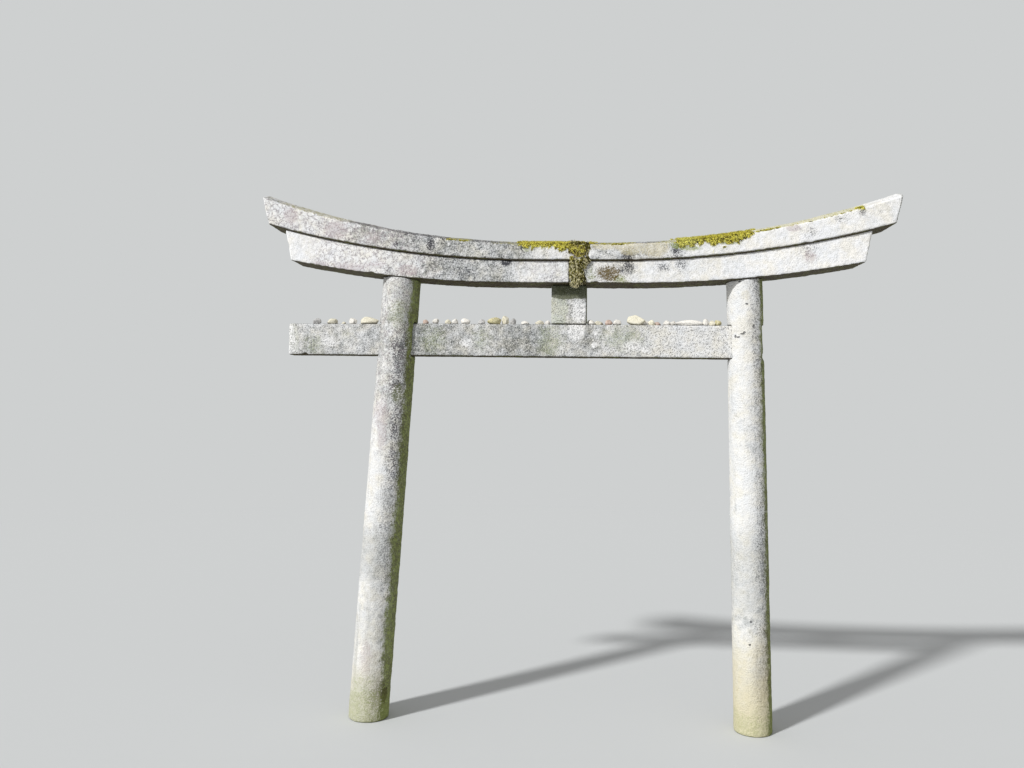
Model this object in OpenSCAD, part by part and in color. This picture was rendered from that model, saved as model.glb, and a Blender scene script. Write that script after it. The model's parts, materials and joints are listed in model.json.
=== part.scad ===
// Small stone torii gate: two round columns that lean inwards, a tie beam let
// through them, a strut, and a pair of upswept lintels, each cut in two stones.
// Millimetres. X runs along the gate, Y from front to back, Z up.
// The origin is the middle of the left column's foot, at ground level.

/* [Columns] */
// Distance between the middles of the two columns at the ground
column_spacing = 1819; // [1600:1:2200]
// Diameter of the left column at the ground
left_base_d = 193; // [160:1:230]
// Diameter of the left column at the lower lintel
left_top_d = 184; // [160:1:230]
// Diameter of the right column at the ground
right_base_d = 177; // [160:1:230]
// Diameter of the right column at the lower lintel
right_top_d = 169; // [160:1:230]
// How far the left column leans inwards at the lower lintel
left_lean = 125; // [0:1:180]
// How far the right column leans inwards at the lower lintel
right_lean = 51; // [0:1:180]
// Diameter of the round tenon on top of each column
tenon_d = 60; // [40:1:80]
// Height of that tenon
tenon_h = 40; // [20:1:70]

/* [Tie beam] */
// Height of the tie beam
tie_h = 158; // [120:1:200]
// Thickness of the tie beam, front to back
tie_t = 80; // [50:1:110]
// Height of the nose, the separate end that stands out on the left
nose_h = 154; // [110:1:200]
// Thickness of the nose, front to back
nose_t = 78; // [50:1:110]
// How far the nose stands out past the left column
nose_out = 437; // [100:1:600]

/* [Strut] */
// Height of the strut, and of the gap between the tie beam and the lower lintel
strut_h = 189; // [120:1:350]
// Width of the strut
strut_w = 171; // [120:1:260]
// Thickness of the strut, front to back
strut_t = 88; // [50:1:150]
// How far the strut's middle stands to the left of the column tops' middle
strut_off = 7; // [-60:1:60]

/* [Lower lintel] */
// Height of the lower lintel's underside at the middle
lower_z = 2082; // [2040:1:2300]
// Height of the lower lintel at the middle
lower_h = 106; // [90:1:160]
// Depth of the lower lintel, front to back
lower_t = 186; // [150:1:260]
// Underside length of its left stone
lower_left_len = 1340; // [1150:1:1450]
// Underside length of its right stone
lower_right_len = 1363; // [1150:1:1450]
// Half the length that lies level before the underside sweeps up
lower_flat = 260; // [50:1:500]
// Radius of the upward sweep of the underside
lower_r = 5800; // [4500:10:9000]
// Angle at which its ends lean outwards
lower_slant = 11.5; // [0:0.5:20]

/* [Upper lintel] */
// Height of the upper lintel at the middle, up to its ridge
upper_h = 107; // [80:1:160]
// Depth of the upper lintel, front to back
upper_t = 216; // [190:1:300]
// Underside length of its left stone
upper_left_len = 1537; // [1450:1:1700]
// Underside length of its right stone
upper_right_len = 1415; // [1350:1:1550]
// Half the length that lies level before the underside sweeps up
upper_flat = 180; // [50:1:400]
// Radius of the upward sweep of the underside
upper_r = 5000; // [4800:10:8000]
// Half the length that lies level before the ridge sweeps up
ridge_flat = 150; // [50:1:300]
// Radius of the upward sweep of the ridge
ridge_r = 4100; // [3600:10:4700]
// Slope of the two roof faces, from the ridge to the front and the back
roof_slope = 15.5; // [5:0.5:20]
// Angle at which its ends lean outwards
upper_slant = 13; // [0:0.5:20]
// How far its joint lies to the right of the lower lintel's joint
joint_stagger = 84; // [0:1:150]
// How far the middle of both sweeps lies to the right of the column tops' middle
sweep_off = 11; // [-60:1:60]

/* [Joints] */
// Width of the upright joint between two lintel stones
joint_gap = 4; // [1:0.5:12]
// Bed between stones that stand on each other
bed_gap = 0.3; // [0.1:0.1:0.9]
// Clearance of the tie beam in its mortise, at each side and above
mortise_play = 1.5; // [0.5:0.5:5]
// Clearance round and above each column's tenon
tenon_play = 0.5; // [0.2:0.1:3]

/* [Hidden] */

stone_grey = "#cfcdc7";
lintel_grey = "#d8d5d0";
beam_grey = "#bfc2ba";

// Fineness of the long sweeps and of the round columns
sweep_fn = 1080;
round_fn = 96;

// Room that a cutting or trimming shape is given past the stone it trims
spare = 200;

left_top_x = left_lean;
right_top_x = column_spacing - right_lean;
tops_mid = (left_top_x + right_top_x) / 2;
sweep_mid = tops_mid + sweep_off;
strut_x = tops_mid - strut_off;

// The lower lintel's joint stands over the strut's middle
lower_joint = strut_x;
upper_joint = lower_joint + joint_stagger;
upper_z = lower_z + lower_h;
ridge_z = upper_z + upper_h;

// The tie beam lies below the lower lintel by the height of the strut
tie_top = lower_z - strut_h;
tie_z = tie_top - tie_h;

// Where each column's axis crosses the tie beam's middle height
tie_mid = tie_z + tie_h / 2;
left_axis_at_tie = left_lean * tie_mid / lower_z;
right_axis_at_tie = column_spacing - right_lean * tie_mid / lower_z;

// Outer face of the left column where the nose comes out of it
left_face_at_tie = left_axis_at_tie
    - (left_base_d + (left_top_d - left_base_d) * tie_mid / lower_z) / 2;

// Rise of a sweep at a distance from its middle: level, then one arc
function lift(d, flat, r) = d <= flat ? 0 : r - sqrt(r * r - (d - flat) * (d - flat));

// Heights of the two lintel undersides at a place along the gate
function lower_under(x) = lower_z + lift(abs(x - sweep_mid), lower_flat, lower_r);
function upper_under(x) = upper_z + lift(abs(x - sweep_mid), upper_flat, upper_r);

// Stands a drawing of the front view up and gives it a depth
module elevation(depth) {
    rotate([90, 0, 0])
        linear_extrude(height = depth, center = true)
            children();
}

// Front view of all that lies above a sweep
module above_sweep(level, flat, r) {
    translate([sweep_mid, level + r]) {
        for (side = [-1, 1])
            translate([side * flat, 0]) circle(r = r, $fn = sweep_fn);
        translate([-flat, -r]) square([2 * flat, 2 * r]);
    }
}

// Front view of a lintel stone's length: upright at the joint, slanted at the end.
// side is -1 for a left stone and 1 for a right one
module stone_span(joint, side, len, end_z, slant, bottom, top) {
    near = joint + side * joint_gap / 2;
    far = joint + side * len;
    polygon([
        [near, bottom],
        [near, top],
        [far + side * (top - end_z) * tan(slant), top],
        [far + side * (bottom - end_z) * tan(slant), bottom]
    ]);
}

// All that lies under one roof face, tilted about the ridge's level stretch
module under_roof_face(tilt) {
    translate([0, 0, ridge_z])
        rotate([tilt, 0, 0])
            elevation(2 * upper_t)
                difference() {
                    translate([sweep_mid - upper_left_len - upper_right_len, -3 * upper_h])
                        square([2 * (upper_left_len + upper_right_len), 9 * upper_h]);
                    above_sweep(0, ridge_flat, ridge_r / cos(tilt));
                }
}

// A leaning, tapered shaft from the ground to the lower lintel's curved bed,
// with a mortise for the tie beam and an upright tenon on top
module column(foot_x, lean, base_d, top_d) {
    tilt = atan(lean / lower_z);
    len = lower_z / cos(tilt);
    taper = (base_d - top_d) / len;
    top_x = foot_x + lean;
    difference() {
        intersection() {
            translate([foot_x, 0, 0])
                rotate([0, tilt, 0])
                    translate([0, 0, -spare])
                        cylinder(h = len + 2 * spare, d1 = base_d + taper * spare,
                                 d2 = top_d - taper * spare, $fn = round_fn);
            translate([foot_x - column_spacing / 2, -base_d, 0])
                cube([column_spacing, 2 * base_d, lower_z + spare]);
        }
        elevation(2 * base_d)
            above_sweep(lower_z - bed_gap, lower_flat, lower_r);
        translate([foot_x - column_spacing / 2, -tie_t / 2 - mortise_play, tie_z - bed_gap])
            cube([column_spacing, tie_t + 2 * mortise_play, tie_h + bed_gap + mortise_play]);
    }
    translate([top_x, 0, lower_under(top_x) - tenon_h])
        cylinder(h = 2 * tenon_h, d = tenon_d, $fn = round_fn);
}

module left_column() {
    color(stone_grey) column(0, left_lean, left_base_d, left_top_d);
}

module right_column() {
    color(stone_grey) column(column_spacing, -right_lean, right_base_d, right_top_d);
}

// The beam ends in the middle of each column; the right column's outer half of
// the mortise is left empty, because the nose that filled it is lost
module tie_beam() {
    color(beam_grey)
        translate([left_axis_at_tie + joint_gap / 2, -tie_t / 2, tie_z])
            cube([right_axis_at_tie - left_axis_at_tie - joint_gap / 2, tie_t, tie_h]);
}

module tie_beam_nose() {
    color(beam_grey)
        translate([left_face_at_tie - nose_out, -nose_t / 2, tie_z])
            cube([left_axis_at_tie - left_face_at_tie + nose_out - joint_gap / 2, nose_t, nose_h]);
}

// The strut stands on the tie beam and meets the lower lintel's bed
module strut() {
    color(beam_grey)
        difference() {
            translate([strut_x - strut_w / 2, -strut_t / 2, tie_top + bed_gap])
                cube([strut_w, strut_t, strut_h + spare]);
            elevation(2 * strut_t)
                above_sweep(lower_z - bed_gap, lower_flat, lower_r);
        }
}

// One stone of the lower lintel, bored for the tenon of the column below it
module lower_lintel(side, len) {
    end_x = lower_joint + side * len;
    top_x = side < 0 ? left_top_x : right_top_x;
    difference() {
        elevation(lower_t)
            difference() {
                intersection() {
                    above_sweep(lower_z, lower_flat, lower_r);
                    stone_span(lower_joint, side, len, lower_under(end_x), lower_slant,
                               lower_z - spare, ridge_z + spare);
                }
                above_sweep(upper_z - bed_gap, upper_flat, upper_r);
            }
        translate([top_x, 0, lower_z - tenon_h])
            cylinder(h = lower_under(top_x) - lower_z + 2 * tenon_h + tenon_play,
                     d = tenon_d + 2 * tenon_play, $fn = round_fn);
    }
}

module lower_lintel_left() {
    color(lintel_grey) lower_lintel(-1, lower_left_len);
}

module lower_lintel_right() {
    color(lintel_grey) lower_lintel(1, lower_right_len);
}

// One stone of the upper lintel: it thickens towards its slanted end, and its
// top falls from a ridge to the front and the back
module upper_lintel(side, len) {
    end_x = upper_joint + side * len;
    intersection() {
        elevation(upper_t)
            intersection() {
                above_sweep(upper_z, upper_flat, upper_r);
                stone_span(upper_joint, side, len, upper_under(end_x), upper_slant,
                           upper_z - spare, ridge_z + 3 * spare);
            }
        under_roof_face(roof_slope);
        under_roof_face(-roof_slope);
    }
}

module upper_lintel_left() {
    color(lintel_grey) upper_lintel(-1, upper_left_len);
}

module upper_lintel_right() {
    color(lintel_grey) upper_lintel(1, upper_right_len);
}

left_column();
right_column();
tie_beam();
tie_beam_nose();
strut();
lower_lintel_left();
lower_lintel_right();
upper_lintel_left();
upper_lintel_right();
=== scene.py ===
"""Dresses a small stone torii gate: worn and lichened stones, moss along the lintels
and pebbles left on the tie beam. Metres. X runs along the gate, Y from front to back, Z up."""

import json
import math
import random
from contextlib import contextmanager

import bpy
from mathutils import Matrix, Vector, noise
from mathutils.bvhtree import BVHTree

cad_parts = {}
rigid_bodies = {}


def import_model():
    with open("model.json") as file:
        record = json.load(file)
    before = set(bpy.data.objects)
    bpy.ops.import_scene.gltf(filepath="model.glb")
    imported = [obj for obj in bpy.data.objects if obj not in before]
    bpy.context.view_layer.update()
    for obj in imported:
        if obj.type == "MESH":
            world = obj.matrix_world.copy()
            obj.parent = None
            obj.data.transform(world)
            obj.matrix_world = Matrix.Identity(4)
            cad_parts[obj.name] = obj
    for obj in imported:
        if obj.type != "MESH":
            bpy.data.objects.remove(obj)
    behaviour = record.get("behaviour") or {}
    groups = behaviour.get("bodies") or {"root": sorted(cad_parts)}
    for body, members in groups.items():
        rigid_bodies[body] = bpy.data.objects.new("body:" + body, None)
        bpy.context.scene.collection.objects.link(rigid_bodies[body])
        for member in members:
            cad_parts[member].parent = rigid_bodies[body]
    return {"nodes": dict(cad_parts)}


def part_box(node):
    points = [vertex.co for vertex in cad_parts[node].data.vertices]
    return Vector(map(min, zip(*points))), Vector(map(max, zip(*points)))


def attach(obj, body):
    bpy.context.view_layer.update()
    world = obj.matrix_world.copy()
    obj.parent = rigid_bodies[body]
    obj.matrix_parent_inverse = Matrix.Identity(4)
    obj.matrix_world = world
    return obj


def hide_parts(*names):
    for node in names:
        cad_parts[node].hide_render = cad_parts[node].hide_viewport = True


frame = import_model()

bl_info = {
    "name": "Weathered Stone Torii",
    "version": (1, 0, 0),
    "blender": (4, 5, 0),
    "location": "3D View > Sidebar > Torii",
    "description": "Dresses the stones of a small torii gate, with moss, lichens and pebbles",
    "category": "Object",
}

# The body that every piece rides on
BODY = "root"

# Points closer than this are one point, and faces closer in angle than this are one face
WELD = 0.00002
FLAT = math.radians(0.4)

# Edges between faces that differ by more than this are arrises of the stone
ARRIS = math.radians(35)

# Closer than this to another stone or the ground, a stone's relief fades out
SHELTER = 0.012

# The direction that the shaded side of the stones looks in: to the right and the back
SHADE_TURN = math.radians(128)
SHADE = Vector((math.sin(SHADE_TURN), -math.cos(SHADE_TURN), 0))

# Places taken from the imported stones
UPPER_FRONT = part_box("upper_lintel_left")[0].y
TIE_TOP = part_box("tie_beam")[1].z
TIE_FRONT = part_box("tie_beam")[0].y
MID = (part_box("left_column")[0].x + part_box("right_column")[1].x) / 2


def tint(red, green, blue):
    """A colour given as a screen shows it, from 0 to 255, as the linear values Blender mixes."""
    parts = [part / 255 for part in (red, green, blue)]
    return [part / 12.92 if part < 0.04045 else ((part + 0.055) / 1.055) ** 2.4 for part in parts]


# Settings that a user can change in the sidebar


def colour_setting(name, description, *shown):
    """A setting for a colour. Its default is given as a screen shows it, from 0 to 255."""
    return bpy.props.FloatVectorProperty(name=name, description=description, subtype="COLOR",
                                         size=3, min=0, max=1, default=tint(*shown))


def length_setting(name, description, default, least, most):
    """A setting for a length, in metres."""
    return bpy.props.FloatProperty(name=name, description=description, default=default,
                                   min=least, max=most, unit="LENGTH", precision=4)


def number_setting(name, description, default, least, most):
    """A setting for a plain number."""
    return bpy.props.FloatProperty(name=name, description=description, default=default,
                                   min=least, max=most)


class StoneShape(bpy.types.PropertyGroup):
    """How the stones are cut and worn"""

    grid: length_setting(
        "Grid", "Distance between the points of a dressed stone", 0.006, 0.004, 0.02)
    worn_edge: length_setting(
        "Worn edge", "Width that time has taken off the arrises", 0.007, 0.002, 0.02)
    waves: length_setting(
        "Waves", "Depth of the long waves in the hand-cut faces", 0.005, 0.0, 0.012)
    relief: length_setting("Relief", "Depth of the weathered skin", 0.0035, 0.0, 0.008)
    chip: length_setting(
        "Chips", "Size of the largest chips knocked off the arrises", 0.03, 0.01, 0.06)


class StoneColours(bpy.types.PropertyGroup):
    """Colours of the stones and of what grows on them"""

    pale: colour_setting("Pale stone", "Sun-bleached granite", 241, 240, 237)
    white: colour_setting(
        "White lichens", "White crust on the lintels, the beam and the strut", 252, 251, 250)
    # Grey stone and dark specks are also painted as shade where the key light only grazes the
    # stone
    grey: colour_setting("Grey stone", "Granite where the rain keeps it grey", 164, 166, 162)
    dark: colour_setting("Dark specks", "Black crust in pits and on the rough skin", 76, 76, 80)
    algae: colour_setting(
        "Algae", "Olive film, mostly on the sides away from the sun", 142, 154, 80)
    # Damp undersides: a brown damp film, which the undersides also take as painted shade
    damp: colour_setting(
        "Damp undersides", "Brown film under the lintels and the beam", 62, 51, 28)
    # Moist stone: a damp green film on the strut's top, painted darker as the shade under the
    # lower lintel
    moist_and_shade: colour_setting(
        "Moist stone", "Green-black film where the strut stays damp", 84, 88, 58)
    moss: colour_setting(
        "Moss film", "Thin moss along the top of the upper lintel", 168, 162, 88)
    net: colour_setting("Net", "Purplish lines between the lichens", 128, 116, 122)
    lilac: colour_setting(
        "Lilac lichen", "Pink-brown crust on the lintels and the left column", 186, 170, 172)
    cream: colour_setting("Cream stone", "Warm stone, mostly near the ground", 216, 206, 172)
    warm: colour_setting(
        "Warm glaze", "Multiplies the stone's colour in its warmer places", 255, 249, 232)
    cool: colour_setting(
        "Cool glaze", "Multiplies the stone's colour in its cooler places", 242, 247, 255)
    earth: colour_setting("Earth", "Dark earth in the joints of the lintels", 58, 54, 38)
    stain: colour_setting(
        "Brown stain", "Under the joint and at the right column's foot", 108, 92, 54)


class MossSettings(bpy.types.PropertyGroup):
    """Thickness and colours of the moss"""

    thickness: length_setting(
        "Thickness", "Thickness of the mats on top of the upper lintel", 0.008, 0.003, 0.02)
    shoot: length_setting("Shoots", "Length of a long shoot on the mats", 0.010, 0.004, 0.03)
    density: number_setting(
        "Shoots on a square metre", "Number of shoots on a square metre", 60000, 1000, 150000)
    gold: colour_setting("Golden moss", "Sunlit moss", 246, 234, 90)
    # Pale tips, also used as the painted highlights of the moss
    tips: colour_setting("Tips", "Pale green tips of the sunlit moss", 234, 234, 138)
    green: colour_setting("Green moss", "Fresh moss", 170, 170, 62)
    brown: colour_setting("Brown moss", "Old and dry moss", 138, 118, 66)
    deep: colour_setting("Deep moss", "The shaded cushion between the shoots", 50, 44, 20)
    dry: colour_setting("Dry moss", "Bleached shoots in the clump", 228, 221, 184)


class PebbleSettings(bpy.types.PropertyGroup):
    """Size and colours of the pebbles on the tie beam"""

    size: number_setting("Size", "Size of the pebbles, as a share of the real ones", 1.0, 0.5, 1.2)
    white: colour_setting("White", "White pebbles", 248, 244, 236)
    cream: colour_setting("Cream", "Cream pebbles", 242, 236, 214)
    ochre: colour_setting("Ochre", "Olive and ochre pebbles", 220, 211, 164)
    grey: colour_setting("Grey", "Grey pebbles", 204, 203, 202)
    red: colour_setting("Red", "Reddish pebbles", 206, 182, 168)


class StageSettings(bpy.types.PropertyGroup):
    """Floor, background and light"""

    floor: colour_setting("Floor", "Colour of the floor", 206, 208, 208)
    background: colour_setting("Background", "Colour behind the gate", 206, 208, 208)
    key: number_setting(
        "Key light", "Brightness that the key light gives a white face", 0.93, 0, 2)
    fill: number_setting("Fill light", "Brightness of the light from all round", 0.42, 0, 2)


# Working with objects, edit mode and nodes


def only(piece):
    """Makes one object the selected and active one."""
    bpy.ops.object.select_all(action="DESELECT")
    piece.select_set(True)
    bpy.context.view_layer.objects.active = piece


@contextmanager
def editing():
    """Edit mode on the active object, for as long as the with block lasts."""
    bpy.ops.object.mode_set(mode="EDIT")
    yield
    bpy.ops.object.mode_set(mode="OBJECT")


def copy_of(piece, name):
    """A new object with its own copy of a piece's mesh."""
    copy = bpy.data.objects.new(name, piece.data.copy())
    bpy.context.scene.collection.objects.link(copy)
    return copy


def finish_modifier(piece, kind, **settings):
    """Adds a modifier to a piece, sets it up and applies it."""
    only(piece)
    modifier = piece.modifiers.new(kind.title(), kind)
    for name, setting in settings.items():
        setattr(modifier, name, setting)
    bpy.ops.object.modifier_apply(modifier=modifier.name)


def apply_place(piece):
    """Puts a piece's place, turn and size into its mesh."""
    only(piece)
    bpy.ops.object.transform_apply(location=True, rotation=True, scale=True)


def join(pieces, name):
    """Joins several objects into one."""
    only(pieces[0])
    for piece in pieces:
        piece.select_set(True)
    bpy.ops.object.join()
    joined = bpy.context.view_layer.objects.active
    joined.name = name
    return joined


def keep(piece, material):
    """Gives a finished piece its material and its place on the gate."""
    piece.data.materials.clear()
    piece.data.materials.append(material)
    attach(piece, BODY)


def clouds(name, size, depth):
    """A cloudy relief pattern whose blotches are about size metres across."""
    pattern = bpy.data.textures.new(name, "CLOUDS")
    pattern.noise_scale = size
    pattern.noise_depth = depth
    return pattern


def add_node(tree, kind, settings, inputs, output=0):
    """Adds any node: its type, its settings and the values or links of its sockets. Gives back
    one of its outputs."""
    node = tree.nodes.new(kind)
    for name, setting in settings.items():
        setattr(node, name, setting)
    for name, value in inputs.items():
        if isinstance(value, bpy.types.NodeSocket):
            tree.links.new(value, node.inputs[name])
        else:
            node.inputs[name].default_value = value
    return node.outputs[output]


# Dressing the stones

# How each stone is dressed: the seed of its chips, their number, the strength of its relief,
# and the share of the relief that goes inwards
DRESSING = {
    "left_column": (3, 8, 0.8, 0.6),
    "right_column": (4, 8, 0.8, 0.6),
    "tie_beam": (11, 4, 0.6, 0.6),
    "tie_beam_nose": (12, 2, 0.6, 0.6),
    "strut": (13, 3, 0.6, 0.6),
    "lower_lintel_left": (21, 12, 1.0, 0.6),
    "lower_lintel_right": (22, 12, 1.0, 0.6),
    "upper_lintel_left": (31, 16, 1.0, 0.8),
    "upper_lintel_right": (32, 16, 1.0, 0.8),
}

# Sizes of the blotches of the waves and the relief. The waves differ between the stones by up
# to two steps
WAVE_SIZE = 0.11
WAVE_STEP = 0.01
RELIEF_SIZE = 0.016

# The lumps that knock the chips off: their size as a share of the largest, how far out of the
# stone their middle lies and how rough they are, as shares of their radius, and their stretch
CHIP_SIZES = (0.3, 1.0)
CHIP_OUT = (0.6, 0.85)
CHIP_ROUGH = 0.3
CHIP_STRETCH = (0.8, 1.9)


def welded_copy(node, name):
    """A copy of a packed stone with its loose triangles welded into whole faces."""
    stone = copy_of(frame["nodes"][node], name)
    only(stone)
    with editing():
        bpy.ops.mesh.select_all(action="SELECT")
        bpy.ops.mesh.customdata_custom_splitnormals_clear()
        bpy.ops.mesh.remove_doubles(threshold=WELD)
        bpy.ops.mesh.dissolve_limited(angle_limit=FLAT)
    return stone


def neighbour_trees(node):
    """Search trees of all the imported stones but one."""
    return [
        BVHTree.FromPolygons(
            [point.co for point in other.data.vertices],
            [face.vertices for face in other.data.polygons])
        for name, other in frame["nodes"].items() if name != node
    ]


def openness(place, trees):
    """0 where another stone or the ground touches, 1 where the nearest is SHELTER away."""
    nearest = min(SHELTER, place.z)
    for tree in trees:
        distance = tree.find_nearest(place, SHELTER)[3]
        if distance is not None:
            nearest = min(nearest, distance)
    return max(nearest, 0) / SHELTER


def arris_places(stone, trees, draw, count):
    """Random open places on the arrises of a stone, each with the way out of the stone."""
    faces_of = {}
    for face in stone.data.polygons:
        for key in face.edge_keys:
            faces_of.setdefault(key, []).append(face.normal)
    arrises = []
    for (first, second), normals in faces_of.items():
        if len(normals) == 2 and normals[0].angle(normals[1]) > ARRIS:
            start, end = stone.data.vertices[first].co, stone.data.vertices[second].co
            arrises.append((start, end, (normals[0] + normals[1]).normalized()))
    lengths = [(end - start).length for start, end, outwards in arrises]
    places = []
    while len(places) < count:
        start, end, outwards = draw.choices(arrises, lengths)[0]
        place = start.lerp(end, draw.random())
        if openness(place, trees) == 1:
            places.append((place, outwards))
    return places


def knock_chips(stone, trees, seed, count, size):
    """Cuts shallow chips out of the arrises with lumps that only dip into the stone."""
    draw = random.Random(seed)
    lumps = []
    for place, outwards in arris_places(stone, trees, draw, count):
        radius = size * draw.uniform(*CHIP_SIZES) / 2
        bpy.ops.mesh.primitive_ico_sphere_add(
            subdivisions=2, radius=radius,
            location=place + outwards * radius * draw.uniform(*CHIP_OUT),
            rotation=[draw.uniform(0, math.pi) for axis in "XYZ"],
            scale=[draw.uniform(*CHIP_STRETCH) for axis in "XYZ"])
        lump = bpy.context.active_object
        with editing():
            bpy.ops.transform.vertex_random(offset=radius * CHIP_ROUGH,
                                            seed=draw.randrange(1000))
        apply_place(lump)
        lumps.append(lump)
    cutter = join(lumps, "chips")
    finish_modifier(stone, "BOOLEAN", operation="DIFFERENCE", object=cutter, solver="EXACT",
                    use_self=True)
    bpy.data.objects.remove(cutter)


def dress(node, shape):
    """Turns a packed stone into a worn one, which stands in for it. Where other stones or the
    ground touch it, it keeps its cut faces."""
    seed, chips, strength, inward = DRESSING[node]
    stone = welded_copy(node, node + "_stone")
    trees = neighbour_trees(node)
    finish_modifier(stone, "BEVEL", width=shape.worn_edge, segments=2, limit_method="ANGLE",
                    angle_limit=ARRIS, use_clamp_overlap=True)
    knock_chips(stone, trees, seed, chips, shape.chip)
    finish_modifier(stone, "REMESH", mode="VOXEL", voxel_size=shape.grid)
    finish_modifier(stone, "SMOOTH", factor=0.5, iterations=2)
    group = stone.vertex_groups.new(name="open")
    for point in stone.data.vertices:
        group.add([point.index], openness(point.co, trees), "REPLACE")
    waves = clouds(stone.name + "_waves", WAVE_SIZE + WAVE_STEP * (seed % 3), 2)
    relief = clouds(stone.name + "_relief", RELIEF_SIZE, 3)
    for pattern, depth in ((waves, shape.waves), (relief, shape.relief)):
        finish_modifier(stone, "DISPLACE", texture=pattern, texture_coords="LOCAL",
                        strength=depth * strength, mid_level=inward, vertex_group="open")
    stone.vertex_groups.clear()
    bpy.ops.object.shade_smooth()
    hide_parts(node)
    return stone


# Materials

# How strongly the dry surfaces shine, as the shader's specular level
SHINE = 0.2

# The net between the lichens: the sizes of its meshes and of the bends in its lines, and how
# far the lines bend
NET_MESH = 0.026
NET_BEND = 0.03
NET_SWING = 0.05


class Value:
    """An output of a material's nodes. Arithmetic on values adds Math nodes."""

    def __init__(self, paint, socket):
        self.paint = paint
        self.socket = socket

    def math(self, operation, first, second):
        """The result of a Math node."""
        return self.paint.add("ShaderNodeMath", {"operation": operation}, {0: first, 1: second})

    def __add__(self, other):
        return self.math("ADD", self, other)

    def __radd__(self, other):
        return self.math("ADD", other, self)

    def __sub__(self, other):
        return self.math("SUBTRACT", self, other)

    def __rsub__(self, other):
        return self.math("SUBTRACT", other, self)

    def __mul__(self, other):
        return self.math("MULTIPLY", self, other)

    def __rmul__(self, other):
        return self.math("MULTIPLY", other, self)

    def most(self, other):
        """The larger of two values."""
        return self.math("MAXIMUM", self, other)

    def ramp(self, low, high):
        """0 at low, 1 at high and a soft step between. It falls where low is above high."""
        return self.paint.add("ShaderNodeMapRange", {"interpolation_type": "SMOOTHSTEP"},
                              {"Value": self, "From Min": low, "From Max": high})


class Paint:
    """A material in the making: coats of colour and a height for the fine relief."""

    def __init__(self, name, ground):
        self.material = bpy.data.materials.new(name)
        self.material.use_nodes = True
        self.tree = self.material.node_tree
        self.shader = self.tree.nodes["Principled BSDF"]
        self.place = self.add("ShaderNodeTexCoord", {}, {}, "Object")
        self.facing = self.add("ShaderNodeNewGeometry", {}, {}, "Normal")
        self.blotch = self.noise(0.035, 4, 0.6)
        self.colour = ground
        self.height = None

    def add(self, kind, settings, inputs, output=0):
        """Adds any node, whose inputs may be plain or a Value each, and gives its output."""
        inputs = {name: value.socket if isinstance(value, Value) else value
                  for name, value in inputs.items()}
        return Value(self, add_node(self.tree, kind, settings, inputs, output))

    def attribute(self, name, output="Fac"):
        """What the mesh stores under a name."""
        return self.add("ShaderNodeAttribute", {"attribute_name": name}, {}, output)

    def rgba(self, colour):
        """A colour as the Mix node takes it."""
        return colour if isinstance(colour, Value) else (*colour, 1)

    def mixed(self, amount, under, over, blend="MIX"):
        """One colour over another."""
        return self.add("ShaderNodeMix", {"data_type": "RGBA", "blend_type": blend},
                        {0: amount, 6: self.rgba(under), 7: self.rgba(over)}, 2)

    def coat(self, amount, colour):
        """Paints a colour over what is there, where amount is 1."""
        self.colour = self.mixed(amount, self.colour, colour)

    def glaze(self, amount, colour):
        """Multiplies what is there by a colour, where amount is 1."""
        self.colour = self.mixed(amount, self.colour, colour, "MULTIPLY")

    def axis(self, name):
        """The place along X, Y or Z."""
        return self.add("ShaderNodeSeparateXYZ", {}, {"Vector": self.place}, name)

    def noise(self, size, detail, roughness, stretch=None):
        """Cloudy noise from 0 to 1 whose blotches are about size metres across."""
        place = self.place
        if stretch:
            place = self.add("ShaderNodeMapping", {}, {"Vector": place, "Scale": stretch})
        return self.add(
            "ShaderNodeTexNoise", {},
            {"Vector": place, "Scale": 1 / size, "Detail": detail, "Roughness": roughness}, "Fac")

    def facing_to(self, direction):
        """How far a face looks in a direction, from -1 to 1."""
        return self.add("ShaderNodeVectorMath", {"operation": "DOT_PRODUCT"},
                        {0: self.facing, 1: direction}, "Value")

    def distance(self, shift, scale=(1, 1, 1)):
        """The place's distance from the origin, once it is scaled and shifted."""
        local = self.add("ShaderNodeMapping", {},
                         {"Vector": self.place, "Location": shift, "Scale": scale})
        return self.add("ShaderNodeVectorMath", {"operation": "LENGTH"}, {0: local}, "Value")

    def span(self, axis, start, end, soft):
        """1 between two places along an axis, 0 past its soft and wandering ends."""
        along = self.axis(axis) + (self.blotch - 0.5) * soft * 3
        return along.ramp(start - soft, start + soft) * along.ramp(end + soft, end - soft)

    def raise_by(self, height):
        """Adds to the height of the fine relief."""
        self.height = height if self.height is None else self.height + height

    def finish(self, roughness, depth):
        """Links colour, roughness and fine relief to the shader."""
        self.tree.links.new(self.colour.socket, self.shader.inputs["Base Color"])
        self.shader.inputs["Roughness"].default_value = roughness
        self.shader.inputs["Specular IOR Level"].default_value = SHINE
        bump = self.add("ShaderNodeBump", {}, {"Height": self.height, "Distance": depth}, "Normal")
        self.tree.links.new(bump.socket, self.shader.inputs["Normal"])
        return self.material


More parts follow.
